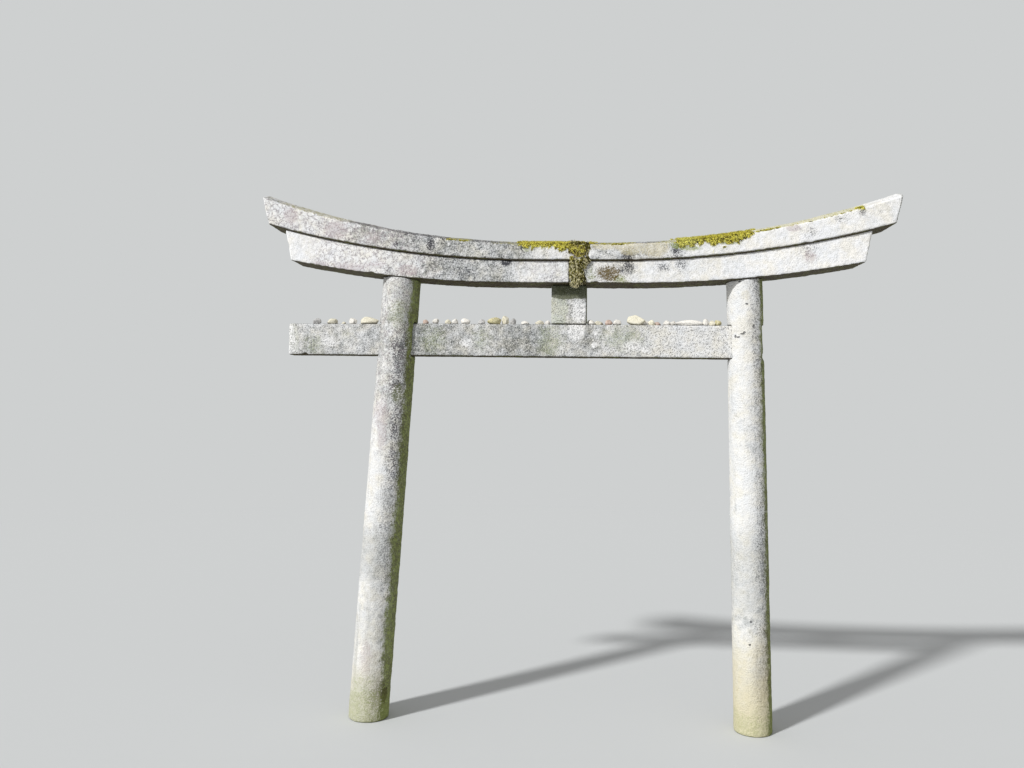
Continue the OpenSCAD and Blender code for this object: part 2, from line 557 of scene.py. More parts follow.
class Stone(Paint):
    """Weathered granite in the making, with the noises that all its coats share."""

    def __init__(self, node, colours, lean=0.0):
        """lean brings the shaded side further round to the front, by the sine of the angle."""
        super().__init__(node.replace("_", " "), colours.pale)
        self.colours = colours
        self.cloud = self.noise(0.15, 3, 0.5)
        self.fine = self.noise(0.007, 3, 0.6)
        self.grit = self.noise(0.005, 1, 0.5)
        self.grain = self.fine * 0.6 + self.grit * 0.4
        self.crust = self.noise(0.018, 3, 0.65)
        self.front = self.facing_to((0, -1, 0)).ramp(0.2, 0.6)
        self.up = self.facing_to((0, 0, 1))
        self.shade = self.facing_to(SHADE) + (self.cloud - 0.5) * 0.3 + lean

    def near(self, x, z, wide, high):
        """A soft spot: 1 in its middle, 0 at its half width and half height."""
        away = self.distance((-x / wide, 0, -z / high), (1 / wide, 0, 1 / high))
        return away.ramp(1.0, 0.0)

    def spots(self, *places):
        """Soft spots on the front, each given as x, z, half width, half height and strength."""
        return self.front * sum(
            self.near(x, z, wide, high) * strength for x, z, wide, high, strength in places)

    def spans(self, axis, *places):
        """Soft spans along an axis, each given as start, end, softness and strength."""
        return sum(
            self.span(axis, start, end, soft) * strength for start, end, soft, strength in places)

    def ragged(self, mask, low=0.35, high=0.55):
        """A soft mask with the ragged edge that lichens and stains have."""
        return (mask + (self.blotch - 0.5) * 0.9 + (self.grain - 0.5) * 1.1).ramp(low, high)

    def granite(self, greyness, crust, lichen, spread):
        """Grey clouds and grains over the pale ground, then lichens in the given colour, and
        black crust. Where the sun only grazes the stone, grey and black specks are painted on
        as shade. greyness runs from -1, bleached, to 1, crust adds to the crust or takes it off
        where it is below 0, and spread is how strong the lichens are."""
        tone = self.cloud * 0.4 + self.blotch * 0.6 + greyness * 0.3
        self.coat(tone.ramp(0.52, 0.88), self.colours.grey)
        grains = (self.grain + greyness * 0.04).ramp(0.48, 0.6)
        self.coat(grains * (greyness * 0.5 + 0.15), self.colours.grey)
        # Painted shade: grey, and black specks over the crust, where the key light only grazes the
        # rough stone
        grazing_shade = self.shade.ramp(-0.72, 0.0)
        self.coat(grazing_shade * 0.25, self.colours.grey)
        patches = self.crust * 0.5 + self.grain * 0.5 - greyness * 0.04 - grazing_shade * 0.03
        self.coat(patches.ramp(0.46, 0.54) * (1 - greyness * 0.35) * spread, lichen)
        crust_and_shade = (grazing_shade.most(self.up.ramp(0.5, 0.85) * 0.15) + crust).most(-0.4)
        speck = self.grain * 0.85 + self.blotch * 0.15 + crust_and_shade * 0.075 - patches * 0.1 + 0.05
        self.specks = speck.ramp(0.56, 0.6)
        self.coat(self.specks * (crust_and_shade * 0.52 + 0.18), self.colours.dark)
        darker = self.blotch.ramp(0.38, 0.6) * 0.9 + 0.35
        flecked = self.flecks(0.009) * (greyness * 0.45 + crust_and_shade * 0.35 + 0.06)
        self.coat(flecked * darker, self.colours.dark)
        self.coat(self.flecks(0.010) * greyness * 0.5, lichen)
        hue = self.noise(0.06, 4, 0.6)
        self.glaze(hue.ramp(0.48, 0.66) * 0.4, self.colours.warm)
        self.glaze(hue.ramp(0.52, 0.34) * 0.4, self.colours.cool)
        self.raise_by(self.fine + self.grit * 0.5 + self.blotch)

    def cells(self, place, size, feature="F1"):
        """The distance to the middle of a cell, or its edge. Cells are about size metres wide."""
        return self.add("ShaderNodeTexVoronoi", {"feature": feature},
                        {"Vector": place, "Scale": 1 / size}, "Distance")

    def flecks(self, size):
        """Crisp round flecks, 1 in their middle, spaced about size metres apart."""
        return self.cells(self.place, size).ramp(0.42, 0.3)

    def tinge(self, mask, amount, colour):
        """A film in a colour, broken up by the grain that shows through it."""
        broken = self.grain.ramp(0.4, 0.58) * 0.5 + self.crust.ramp(0.4, 0.6) * 0.2 + 0.3
        self.coat(self.ragged(mask, 0.25, 0.8) * broken * amount, colour)

    def tinge_spots(self, places, amount, colour):
        """Such a film over soft spots on the front, if the stone has any."""
        if places:
            self.tinge(self.spots(*places), amount, colour)

    def net(self, mask):
        """A net of purplish lines between the lichens, where mask is 1."""
        wander = self.add("ShaderNodeTexNoise", {},
                          {"Vector": self.place, "Scale": 1 / NET_BEND}, "Color")
        bent = self.add("ShaderNodeVectorMath", {"operation": "MULTIPLY_ADD"},
                        {0: wander, 1: [NET_SWING] * 3, 2: self.place})
        edge = self.cells(bent, NET_MESH, "DISTANCE_TO_EDGE")
        line = edge.ramp(0.16, 0.02) * self.grain.ramp(0.42, 0.54)
        self.coat(line * mask * 0.7, self.colours.net)

    def films(self, start, strength):
        """Olive film away from the sun, thinner on the back, and under the stone a brown film
        that is partly damp and partly painted shade. The film begins where the shade reaches
        start."""
        film = self.shade + (self.blotch - 0.5) * 0.5 + (self.grain - 0.5) * 0.8
        rightwards = self.facing_to((1, 0, 0)) + (self.blotch - 0.5) * 0.6
        damp = self.colours.damp
        olive = self.mixed(self.crust.ramp(0.42, 0.58) * 0.5, self.colours.algae, damp)
        olive = self.mixed(self.fine.ramp(0.5, 0.6) * 0.3, olive, self.colours.grey)
        olive = self.mixed(self.specks * 0.5, olive, damp)
        self.coat(film.ramp(start, start + 0.35) * rightwards.ramp(-0.5, 0.6) * strength, olive)
        # Painted shade with damp: faces that look down are darkened brown, more than the damp
        # alone would make them
        under = (self.up * -1 + (self.blotch - 0.5) * 0.5).ramp(0.4, 0.75)
        self.coat(under * 0.94, self.mixed(self.blotch.ramp(0.45, 0.65) * 0.4, damp, olive))

    def streaks(self, low, high, amount):
        """Grey streaks that run down the stone."""
        streak = self.noise(0.04, 3, 0.6, (1, 1, 0.12)).ramp(low, high)
        self.coat(streak * amount, self.colours.grey)

    def wavering_height(self, swing):
        """The height above the ground, which swings up and down in wide clouds."""
        return self.axis("Z") + (self.cloud - 0.5) * swing

    def pits(self, *places):
        """Small dark pits, each given as x, z, half width and half height."""
        spots = self.spots(*((*place, 1) for place in places))
        hole = (spots + (self.grit - 0.5) * 0.8).ramp(0.25, 0.5)
        self.coat(hole * 0.8, self.colours.dark)
        self.raise_by(hole * -1.5)


def left_column_paint(node, colours):
    """The left column: crusted in its upper half, cream and mossy at its foot."""
    stone = Stone(node, colours, 0.2)
    crust = stone.spots(
        (0.19, 2.02, 0.10, 0.20, -0.8), (0.12, 1.77, 0.07, 0.13, 0.9),
        (0.11, 1.58, 0.06, 0.10, 0.8), (0.10, 1.42, 0.07, 0.12, 0.5),
        (0.11, 1.25, 0.08, 0.18, 0.2), (0.12, 0.95, 0.08, 0.24, -0.4),
        (0.06, 0.42, 0.20, 0.40, -0.9), (0.07, 0.13, 0.08, 0.10, 1.0))
    stone.granite(stone.spans("Z", (1.5, 2.2, 0.2, 0.6), (0.3, 1.1, 0.2, 0.2)), crust,
                  colours.pale, 0.95)
    stone.coat(stone.spans("Z", (0.66, 0.90, 0.05, 0.4), (0.38, 0.52, 0.05, 0.2)), colours.grey)
    stone.streaks(0.48, 0.7, 0.4)
    stone.net(stone.spans("Z", (1.4, 2.2, 0.2, 0.8), (0, 1.4, 0.2, 0.2)))
    stone.tinge_spots(((0.12, 1.93, 0.08, 0.14, 0.9), (0.13, 1.55, 0.06, 0.10, 0.8)), 0.4,
                      colours.algae)
    stone.tinge_spots(((0.05, 1.46, 0.08, 0.12, 1), (0.06, 1.34, 0.05, 0.10, 1)), 0.5,
                      colours.lilac)
    stone.tinge_spots(((0.0, 0.30, 0.06, 0.16, 1),), 0.5, colours.lilac)
    height = stone.wavering_height(0.4)
    stone.coat(height.ramp(0.35, 0.0) * 0.55, colours.grey)
    stone.coat(height.ramp(0.45, 0.05) * 0.4, colours.cream)
    stone.films(0.08, 0.92)
    stone.coat(stone.ragged(stone.spots((0.10, 0.12, 0.05, 0.08, 1.2))) * 0.7, colours.damp)
    stone.tinge(height.ramp(0.32, -0.05), 0.5, colours.algae)
    return stone.finish(0.9, 0.004)


def right_column_paint(node, colours):
    """The right column: bleached, with a grey belt and a cream foot."""
    stone = Stone(node, colours, 0.12)
    crust = stone.spots(
        (1.79, 0.60, 0.15, 0.14, -0.5), (1.73, 1.46, 0.06, 0.14, 0.2),
        (1.85, 0.30, 0.08, 0.30, -0.3), (1.86, 1.90, 0.08, 0.24, -0.8),
        (1.84, 1.35, 0.09, 0.55, -0.5))
    stone.granite(stone.spans("Z", (0.50, 0.92, 0.10, 0.3), (1.3, 1.6, 0.1, 0.1)), crust,
                  colours.pale, 0.95)
    stone.streaks(0.56, 0.74, 0.2)
    stone.coat(stone.span("Z", 0.52, 0.92, 0.08) * 0.3, colours.grey)
    stone.tinge_spots(((1.76, 2.03, 0.05, 0.05, 0.9),), 0.35, colours.cream)
    height = stone.wavering_height(0.3)
    stone.coat((height + (stone.blotch - 0.5) * 0.3).ramp(0.62, 0.12) * 0.85, colours.cream)
    stone.pits(
        (1.764, 1.989, 0.010, 0.008), (1.731, 2.096, 0.008, 0.006), (1.796, 1.886, 0.009, 0.016),
        (1.716, 1.840, 0.006, 0.011), (1.728, 1.835, 0.012, 0.006), (1.746, 1.850, 0.014, 0.006),
        (1.754, 1.857, 0.010, 0.006), (1.790, 0.524, 0.008, 0.010), (1.786, 0.419, 0.008, 0.007))
    stone.films(0.02, 0.92)
    stone.tinge(height.ramp(0.30, -0.05), 0.4, colours.algae)
    stone.tinge_spots(((1.85, 0.32, 0.09, 0.34, 1.2),), 0.25, colours.stain)
    return stone.finish(0.9, 0.004)


# The marks on the stones of the beam: soft spots on the front, each as x, z, half width, half
# height and strength, and as the spread how strong the lichens are all over
BEAM_MARKS = {
    "tie_beam": dict(
        spread=0.5,
        greyness=((0.73, 1.80, 0.18, 0.14, 0.5), (1.03, 1.82, 0.10, 0.12, 0.4),
                  (0.30, 1.80, 0.30, 0.20, 0.4), (1.65, 1.82, 0.60, 0.40, -0.6)),
        lichen=((0.975, 1.86, 0.06, 0.07, 1.7), (1.060, 1.795, 0.020, 0.020, 2.2),
                (1.064, 1.852, 0.016, 0.016, 2.2), (1.300, 1.773, 0.018, 0.018, 2.2),
                (1.24, 1.79, 0.10, 0.06, 0.8), (0.45, 1.80, 0.08, 0.05, 0.7)),
        green=((0.85, 1.81, 0.12, 0.16, 0.8), (1.20, 1.83, 0.22, 0.14, 0.7),
               (0.29, 1.81, 0.14, 0.14, 0.7), (0.52, 1.82, 0.10, 0.14, 0.6))),
    "tie_beam_nose": dict(
        spread=0.5,
        greyness=((-0.15, 1.81, 0.30, 0.30, -0.1),),
        lichen=((-0.42, 1.81, 0.08, 0.2, 1.0), (-0.22, 1.80, 0.08, 0.05, 0.9)),
        green=((-0.29, 1.79, 0.12, 0.12, 0.6), (-0.13, 1.84, 0.10, 0.10, 0.4),
               (-0.40, 1.82, 0.05, 0.14, 1.0))),
    "strut": dict(
        spread=0.95,
        greyness=((0.94, 2.06, 0.14, 0.06, 1.0), (0.88, 1.95, 0.08, 0.12, -0.3)),
        lichen=((0.985, 1.95, 0.05, 0.08, 1.7),),
        green=((0.88, 1.97, 0.08, 0.08, 2.2), (0.88, 1.91, 0.07, 0.05, 1.6)),
        # The strut's damp top, also darkened as painted shade under the lower lintel
        moist_and_shade=((0.88, 2.08, 0.20, 0.09, 2.5), (1.00, 2.08, 0.20, 0.09, 2.5))),
}


def beam_paint(node, colours):
    """The rough-picked grey granite of the tie beam, its nose and the strut."""
    marks = BEAM_MARKS[node]
    stone = Stone(node, colours)
    grey = (stone.spots(*marks["greyness"]) + 0.5).most(0.0)
    stone.granite(grey, grey * 0.6, colours.white, marks["spread"])
    stone.coat(stone.grain.ramp(0.44, 0.36) * 0.65, colours.dark)
    stone.raise_by(stone.grain.ramp(0.35, 0.5) * 0.6)
    stone.tinge_spots(marks["green"], 0.4, colours.algae)
    stone.tinge_spots(marks["lichen"], 1.0, colours.white)
    # Painted shade with a damp film: the strut's top under the lower lintel is coated green-black
    if "moist_and_shade" in marks:
        stone.coat(stone.ragged(stone.spots(*marks["moist_and_shade"])) * 0.85, colours.moist_and_shade)
    stone.films(0.0, 0.8)
    return stone.finish(0.9, 0.003)


# The marks on the stones of the lintels. Greyness, net and moss are soft spans along the gate,
# each as start, end, softness and strength. The others are soft spots, as on the beam
LINTEL_MARKS = {
    "lower_lintel_left": dict(
        greyness=((0.24, 0.68, 0.06, 0.75), (0.08, 0.23, 0.04, 0.3), (0.68, 0.95, 0.05, 0.15),
                  (-0.50, 0.02, 0.06, -1.0)),
        crust=((0.45, 2.13, 0.12, 0.06, 1.2), (0.30, 2.16, 0.10, 0.06, 0.5),
               (0.64, 2.182, 0.045, 0.035, 3.0), (0.16, 2.12, 0.06, 0.04, 0.8),
               (0.86, 2.10, 0.12, 0.03, 0.7), (0.06, 2.15, 0.05, 0.03, 0.6),
               (-0.24, 2.22, 0.20, 0.10, -0.4), (0.00, 2.20, 0.12, 0.05, -0.4)),
        net=((-0.30, 0.30, 0.08, 0.9), (0.7, 0.95, 0.05, 0.6)),
        lilac=((-0.26, 2.17, 0.07, 0.03, 1.0), (-0.12, 2.15, 0.14, 0.05, 1.1),
               (0.02, 2.17, 0.10, 0.06, 0.6), (0.17, 2.14, 0.09, 0.05, 1.0))),
    "lower_lintel_right": dict(
        greyness=((0.93, 1.07, 0.03, 0.5), (1.16, 1.26, 0.03, 0.45), (1.70, 2.40, 0.10, -1.0)),
        crust=((1.00, 2.12, 0.08, 0.08, 0.9), (1.21, 2.16, 0.06, 0.07, 1.5),
               (1.17, 2.10, 0.06, 0.03, 1.0), (1.38, 2.16, 0.07, 0.04, 1.2),
               (1.46, 2.17, 0.05, 0.06, 1.2), (2.04, 2.24, 0.08, 0.08, 0.8),
               (1.12, 2.13, 0.10, 0.07, 1.3), (1.62, 2.16, 0.12, 0.04, 0.3),
               (1.85, 2.22, 0.20, 0.10, -0.3)),
        lilac=((2.05, 2.21, 0.06, 0.06, 0.8),),
        stains=((1.11, 2.13, 0.10, 0.07, 0.75), (1.14, 2.12, 0.06, 0.045, 0.6),
                (0.97, 2.14, 0.05, 0.09, 1.5)),
        green=((1.17, 2.10, 0.07, 0.05, 0.7), (1.04, 2.12, 0.05, 0.10, 0.5))),
    "upper_lintel_left": dict(
        greyness=((-0.12, 0.12, 0.06, 0.5), (0.12, 0.74, 0.06, 0.75), (0.74, 1.02, 0.04, 0.3)),
        crust=((0.110, 2.263, 0.03, 0.026, 1.8), (0.28, 2.26, 0.04, 0.06, 2.2),
               (0.40, 2.24, 0.16, 0.06, 0.5), (0.02, 2.29, 0.10, 0.06, 0.6),
               (0.95, 2.21, 0.08, 0.04, 0.9), (-0.50, 2.44, 0.03, 0.04, 0.7),
               (0.715, 2.245, 0.016, 0.05, 1.5), (0.98, 2.24, 0.06, 0.05, 1.2)),
        net=((-0.56, 0.20, 0.10, 1.0),),
        green=((0.74, 2.25, 0.04, 0.04, 0.9), (0.86, 2.262, 0.14, 0.022, 0.9),
               (0.97, 2.25, 0.06, 0.05, 1.2)),
        lilac=((-0.40, 2.40, 0.06, 0.08, 1.1), (-0.18, 2.33, 0.12, 0.08, 1.0),
               (0.00, 2.29, 0.10, 0.06, 0.7)),
        stains=((0.985, 2.235, 0.05, 0.05, 2.5),),
        moss=((-0.46, -0.10, 0.08, 0.5), (0.36, 0.48, 0.03, 0.6), (0.6, 1.02, 0.1, 0.6))),
    "upper_lintel_right": dict(
        greyness=((1.03, 1.42, 0.03, 0.6), (1.42, 1.50, 0.03, 0.4), (1.80, 2.20, 0.10, -0.6)),
        crust=((1.21, 2.21, 0.06, 0.06, 1.8), (1.435, 2.235, 0.05, 0.07, 1.7),
               (1.16, 2.24, 0.04, 0.03, 0.7), (2.05, 2.32, 0.06, 0.05, 1.0),
               (2.18, 2.38, 0.06, 0.03, 0.9), (2.28, 2.415, 0.03, 0.03, 1.5),
               (1.99, 2.34, 0.04, 0.03, 0.7)),
        cream=((1.10, 2.262, 0.09, 0.04, 1.5), (1.22, 2.25, 0.10, 0.06, 1.5),
               (1.34, 2.25, 0.10, 0.07, 1.5)),
        green=((1.43, 2.262, 0.05, 0.03, 1.1), (1.50, 2.245, 0.09, 0.022, 1.0),
               (1.68, 2.272, 0.09, 0.02, 0.9), (1.22, 2.23, 0.05, 0.03, 0.3)),
        lilac=((1.97, 2.34, 0.06, 0.03, 1.3),),
        moss=((1.06, 1.24, 0.05, 0.6), (1.35, 2.32, 0.08, 0.7))),
}


def lintel_paint(node, colours):
    """The pale granite of the lintels."""
    marks = LINTEL_MARKS[node]
    stone = Stone(node, colours)
    grey = stone.spans("X", *marks["greyness"])
    stone.granite(grey, stone.spots(*marks["crust"]).most(grey * 0.9), colours.white, 0.9)
    if "net" in marks:
        stone.net(stone.spans("X", *marks["net"]))
    stone.tinge_spots(marks.get("cream"), 0.7, colours.cream)
    stone.tinge_spots(marks.get("green"), 0.9, colours.algae)
    stone.coat(stone.grain.ramp(0.45, 0.37) * 0.2, colours.dark)
    stone.tinge_spots(marks.get("lilac"), 0.65, colours.lilac)
    stone.tinge_spots(marks.get("stains"), 1.1, colours.stain)
    stone.films(0.0, 0.8)
    if "moss" in marks:
        mossy = stone.spans("X", *marks["moss"]) * stone.up.ramp(0.2, 0.7)
        stone.tinge(mossy, 0.9, colours.moss)
    return stone.finish(0.9, 0.003)


def moss_paint(settings):
    """Moss from gold to green and brown, each shoot with a shade of its own."""
    paint = Paint("moss", settings.gold)
    shade = paint.attribute("shade")
    patch = paint.noise(0.05, 3, 0.6)
    paint.coat((patch + (shade - 0.5) * 0.3).ramp(0.47, 0.62) * 0.8, settings.green)
    paint.coat((patch * -1 + (shade - 0.5) * 0.6 + 1).ramp(0.6, 0.85) * 0.8, settings.brown)
    paint.coat(paint.noise(0.025, 2, 0.5).ramp(0.52, 0.62) * 0.6, settings.brown)
    over_joint = paint.span("X", 0.93, 1.03, 0.03)
    paint.coat(over_joint * (shade * 0.5 + 0.4), settings.brown)
    paint.coat(shade.ramp(0.7, 1.0) * 0.3, settings.tips)
    # Painted light: a sunlit patch of pale tips on the right mat
    sunlit = paint.span("X", 1.44, 1.54, 0.02)
    paint.coat(sunlit * 0.6, settings.tips)
    # Painted shade: the moss turns browner and darker the further it hangs below the front arris,
    # away from the light from above
    low = (paint.attribute("drop") + (patch - 0.5) * 0.03).ramp(0.008, 0.035)
    paint.coat(low * 0.4, settings.brown)
    paint.coat(low.most(0.2) * shade.ramp(0.5, 0.1) * 0.7, settings.deep)
    # Painted shade in the small gaps between the tufts, and painted highlights on the tufts, fewer
    # low down
    tuft = paint.noise(0.008, 1, 0.5)
    paint.coat(tuft.ramp(0.45, 0.34) * 0.8, settings.deep)
    bright = tuft.ramp(0.48, 0.62) * (1 - low * 0.4)
    paint.coat(bright * 0.8, settings.gold)
    paint.coat(bright * 0.5, settings.tips)
    # Painted shade on the cushion between the shoots
    paint.coat(shade.ramp(0.0, -0.5) * 0.75, settings.deep)
    paint.raise_by(paint.noise(0.004, 3, 0.6))
    return paint.finish(0.95, 0.002)


def hanging_moss_paint(settings):
    """The old moss of the clump: green and brown, with pale dry shoots."""
    paint = Paint("hanging moss", settings.green)
    shade = paint.attribute("shade")
    patch = paint.noise(0.03, 3, 0.6)
    paint.coat((patch + (shade - 0.5) * 0.5).ramp(0.33, 0.53) * 0.7, settings.brown)
    # Darker to the right: painted shade on the side away from the light, with the dark litter
    # there. Lower down the strands are paler and drier
    right = paint.axis("X").ramp(0.965, 0.995)
    low = paint.axis("Z").ramp(2.24, 2.19)
    paint.coat((shade - right * 0.3 + low * 0.1).ramp(0.6, 0.15) * 0.85, settings.deep)
    paint.coat((shade - right * 0.12 + low * 0.15).ramp(0.72, 0.9) * 0.85, settings.dry)
    # Painted shade in the gaps between the strands, and pale dry strands, which also serve as
    # painted highlights
    tuft = paint.noise(0.010, 1, 0.5) - right * 0.05 + low * 0.04
    paint.coat(tuft.ramp(0.48, 0.36) * 0.9, settings.deep)
    paint.coat(tuft.ramp(0.56, 0.68) * 0.8, settings.dry)
    paint.raise_by(paint.noise(0.004, 3, 0.6))
    return paint.finish(0.95, 0.002)


def pebble_paint():
    """Pebbles, each in a colour of its own, with fine speckles."""
    paint = Paint("pebbles", (1, 1, 1))
    paint.colour = paint.attribute("pebble_colour", "Color")
    speckle = paint.noise(0.007, 3, 0.7)
    paint.coat(speckle.ramp(0.52, 0.62) * 0.3, tint(124, 112, 92))
    paint.coat(speckle.ramp(0.46, 0.38) * 0.4, tint(250, 247, 238))
    paint.raise_by(speckle)
    return paint.finish(0.85, 0.002)


def earth_paint(colours):
    """Crumbly dark earth."""
    paint = Paint("joint earth", colours.earth)
    paint.coat(paint.noise(0.01, 3, 0.6).ramp(0.4, 0.6) * 0.5, colours.damp)
    paint.raise_by(paint.noise(0.006, 3, 0.6))
    return paint.finish(1.0, 0.003)


# Moss and pebbles

# Where moss covers the upper lintel: from and to along X, how far it hangs below the front
# arris, and how far back it reaches over the roof
MOSS_MATS = {
    "left": ((0.70, 1.03, 0.022, 0.2), (0.70, 0.79, 0.036, 0.2), (0.86, 1.03, 0.045, 0.2),
             (0.92, 1.03, 0.100, 0.2)),
    "right": ((1.02, 1.06, 0.020, 0.2), (1.42, 1.80, 0.034, 0.2), (1.43, 1.55, 0.048, 0.2),
              (1.56, 1.77, 0.052, 0.2), (2.255, 2.315, 0.018, 0.05)),
}

# Thin moss along the front arris, in the same way
MOSS_RIMS = {
    "left": ((-0.42, -0.18, 0.001, 0.008), (0.36, 0.46, 0.004, 0.03)),
    "right": ((1.09, 1.22, 0.004, 0.05), (1.78, 1.95, 0.005, 0.04), (1.95, 2.27, 0.002, 0.015)),
}

# How ragged the rim of a mat is, how wide its ragged ends are, and the share of its reach that
# it keeps all along
MOSS_RAGGED = 22
MOSS_END = 0.05
MOSS_LEAST = 0.35

# Points this close behind the front belong to its arris, and faces that look up more than this
# to the roof
ARRIS_DEPTH = 0.012
ROOF = 0.4

# The grid of the cushions under the shoots, and their shade. The shoots' own run from 0 to 1
CUSHION_GRID = 0.004
DEEP = -1.0

# A blade's width as a share of its length, and its lean out of the tuft in degrees. Then the
# least length of a tuft and its least and greatest width, as shares of the shoot
BLADE_WIDTH = 0.17
BLADE_LEAN = 24
TUFT_SHORTEST = 0.5
TUFT_WIDTHS = (0.6, 1.1)


def centimetre(place):
    """Which centimetre along the gate a place lies in."""
    return round(place.x * 100)


def front_arris(stone):
    """Heights of the stone's upper front arris, at each centimetre along the gate."""
    heights = {}
    front = min(point.co.y for point in stone.data.vertices)
    for point in stone.data.vertices:
        if point.co.y < front + ARRIS_DEPTH:
            key = centimetre(point.co)
            heights[key] = max(heights.get(key, 0), point.co.z)
    return heights


def moss_cover(place, facing, arris, spans):
    """Whether moss grows at a place on the upper lintel."""
    wander = noise.noise(place * MOSS_RAGGED)
    spread = 0.5 + 0.7 * abs(wander)
    for finer, strength in ((3, 0.5), (8, 0.3)):
        spread += strength * noise.noise(place * MOSS_RAGGED * finer)
    spread = max(MOSS_LEAST, spread)
    for start, end, hang, reach in spans:
        inside = min(place.x - start, end - place.x) / MOSS_END
        if inside + wander < 0.1:
            continue
        limit = min(1, max(0.3, inside + 0.4)) * spread
        below = arris.get(centimetre(place), 0) - place.z
        if facing.z > ROOF:
            if place.y - UPPER_FRONT < reach * spread:
                return True
        elif facing.y < 0 and below < hang * limit:
            return True
    return False


def cushion(skin, size, depth):
    """Turns a closed or thickened skin into one soft, lumpy cushion."""
    finish_modifier(skin, "REMESH", mode="VOXEL", voxel_size=CUSHION_GRID)
    finish_modifier(skin, "SMOOTH", factor=0.5, iterations=3)
    finish_modifier(skin, "DISPLACE", texture=clouds(skin.name, size, 2), texture_coords="LOCAL",
                    strength=depth, mid_level=0.6)
    bpy.ops.object.shade_smooth()


def moss_skin(stone, name, spans, thickness):
    """A cushion of moss over those faces of a stone that lie in the spans. Each of its points
    stores how far it hangs below the arris."""
    arris = front_arris(stone)
    skin = copy_of(stone, name)
    only(skin)
    with editing():
        bpy.ops.mesh.select_mode(type="FACE")
        bpy.ops.mesh.select_all(action="DESELECT")
    for face in skin.data.polygons:
        face.select = not moss_cover(face.center, face.normal, arris, spans)
    with editing():
        bpy.ops.mesh.delete(type="FACE")
    finish_modifier(skin, "SOLIDIFY", thickness=thickness, offset=-0.5)
    cushion(skin, size=0.014, depth=thickness * 0.5)
    drop = skin.data.attributes.new("drop", "FLOAT", "POINT")
    drop.data.foreach_set("value", [
        arris.get(centimetre(point.co), point.co.z) - point.co.z for point in skin.data.vertices])
    return skin


# The clump that hangs over the joint, row by row: height, from and to along X, and its front
CLUMP = (
    (2.262, 0.940, 1.022, -0.1098), (2.250, 0.955, 1.024, -0.1098),
    (2.238, 0.960, 1.022, -0.1098), (2.226, 0.970, 1.022, -0.1098),
    (2.214, 0.965, 1.022, -0.1098), (2.202, 0.950, 1.020, -0.1098),
    (2.190, 0.942, 1.018, -0.1102), (2.178, 0.938, 1.010, -0.1090),
    (2.164, 0.938, 0.996, -0.1050), (2.150, 0.938, 0.992, -0.1035),
    (2.136, 0.938, 0.998, -0.1030), (2.122, 0.938, 0.992, -0.1030),
    (2.108, 0.940, 1.000, -0.1025), (2.094, 0.942, 1.012, -0.1010),
    (2.080, 0.944, 0.976, -0.0990))

# The sizes that the lumps of the clump have between them, how far they stray, and how far
# apart they lie, as a share of their width
LUMP_WIDE = (0.008, 0.016)
LUMP_DEEP = (0.008, 0.013)
LUMP_STRAY = 0.006
LUMP_STEP = 1.6


def moss_clump(name):
    """The clump of moss that hangs over the joints of both lintels, in small uneven lumps."""
    draw = random.Random(5)
    lumps = []
    for z, start, end, front in CLUMP:
        x = start
        while x < end:
            wide = draw.uniform(*LUMP_WIDE)
            deep = draw.uniform(*LUMP_DEEP)
            bpy.ops.mesh.primitive_ico_sphere_add(
                subdivisions=2, radius=1,
                location=(x + wide, front + deep + draw.uniform(0, LUMP_STRAY) / 2,
                          z + draw.uniform(-LUMP_STRAY, LUMP_STRAY)),
                scale=(wide, deep, wide * draw.uniform(0.7, 1.1)))
            lumps.append(bpy.context.active_object)
            apply_place(lumps[-1])
            x += wide * LUMP_STEP
    clump = join(lumps, name)
    cushion(clump, size=0.016, depth=0.004)
    return clump


def moss_shoot(length):
    """One small tuft of three blades that lean apart."""
    blades = []
    for turn in (0, 120, 240):
        bpy.ops.mesh.primitive_cone_add(
            vertices=3, radius1=length * BLADE_WIDTH, depth=length, end_fill_type="NOTHING",
            location=(0, 0, length / 2))
        with editing():
            for angle, axis in ((BLADE_LEAN, "X"), (turn, "Z")):
                bpy.ops.transform.rotate(value=math.radians(angle), orient_axis=axis,
                                         center_override=(0, 0, 0))
        blades.append(bpy.context.active_object)
        apply_place(blades[-1])
    return join(blades, "shoot")


